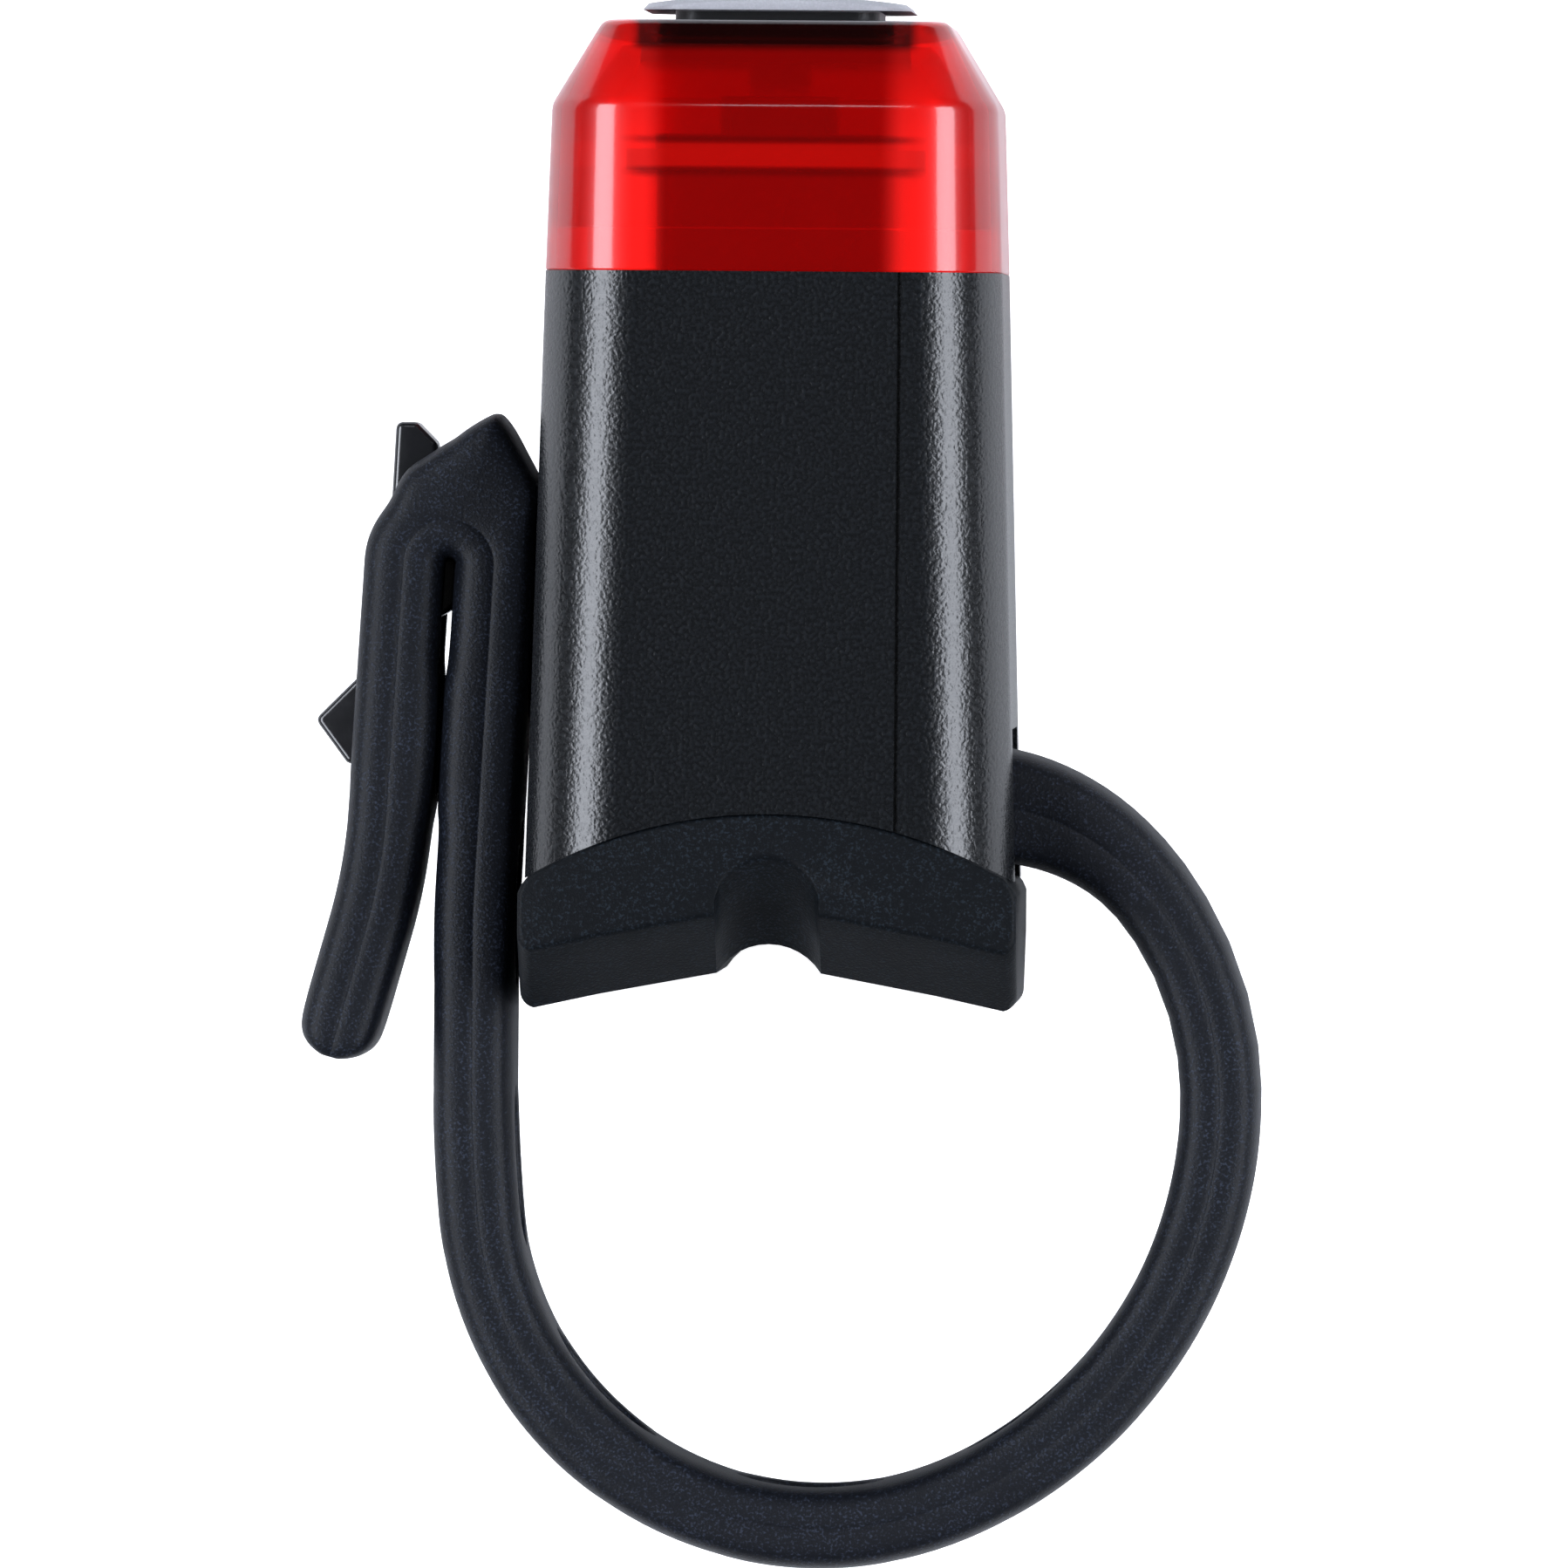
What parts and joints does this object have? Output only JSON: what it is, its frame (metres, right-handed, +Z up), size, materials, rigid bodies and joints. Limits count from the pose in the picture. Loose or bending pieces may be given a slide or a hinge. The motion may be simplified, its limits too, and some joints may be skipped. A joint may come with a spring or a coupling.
{
  "type": "bike rear light",
  "caption": "Small red rear light with a front push button and a slotted rubber strap that closes round a seatpost over a hook.",
  "frame": {"origin": "centre of the housing's flat base face, which is the lower end of the light on the seatpost", "axes": "+Z up along the seatpost, -Y the way the light shines, +X the side with the strap's hook"},
  "size_m": [0.0498, 0.0816, 0.028],
  "materials": {
    "housing_plastic": "black, fine spark-eroded grain",
    "red_lens": "clear red polycarbonate, glossy",
    "seal_rubber": "black silicone",
    "button_plastic": "dark grey, satin",
    "switch_plastic": "black moulded resin",
    "plunger_plastic": "pale moulded resin",
    "board_laminate": "white solder resist",
    "tower_plastic": "dark moulded plastic",
    "lamp_resin": "clear resin over a phosphor",
    "chip_resin": "black moulded resin",
    "screw_steel": "zinc plated",
    "port_steel": "plain stainless",
    "pin_brass": "gilded",
    "cell_foil": "laminated foil pouch",
    "foam": "closed-cell foam",
    "lead_red": "PVC sleeve",
    "lead_black": "PVC sleeve",
    "pad_rubber": "matt black rubber",
    "strap_rubber": "matt blue-black rubber with a fine grain",
    "pin_steel": "plain stainless",
    "hook_plastic": "glossy black",
    "flap_rubber": "matt black rubber"
  },
  "bodies": {
    "light": {"housing": "housing_plastic", "lens": "red_lens", "lens_gasket": "seal_rubber", "button_collar": "seal_rubber", "switch_body": "switch_plastic", "switch_board": "board_laminate", "light_tower": "tower_plastic", "lamp_board": "board_laminate", "lamps": "lamp_resin", "charge_chip": "chip_resin", "board_screws": "screw_steel", "usb_board": "board_laminate", "usb_shell": "port_steel", "usb_tongue": "chip_resin", "board_pins": "pin_brass", "battery_cell": "cell_foil", "foam_block": "foam", "battery_lead_red": "lead_red", "battery_lead_black": "lead_black", "seatpost_pad": "pad_rubber", "strap": "strap_rubber", "strap_pin": "pin_steel", "strap_hook": "hook_plastic"},
    "button": {"power_button": "button_plastic", "switch_plunger": "plunger_plastic"},
    "flap": {"port_flap": "flap_rubber"}
  },
  "joints": [
    {"name": "button_press", "type": "slide", "parent": "light", "child": "button", "axis": [0, 1, 0], "range_m": [0, 0.00045], "stiffness_N_per_m": 600},
    {"name": "flap_hinge", "type": "hinge", "parent": "light", "child": "flap", "pos_m": [-0.0073, -0.00883, 0.00055], "axis": [0, 1, 0], "range_deg": [0, 110]}
  ]
}
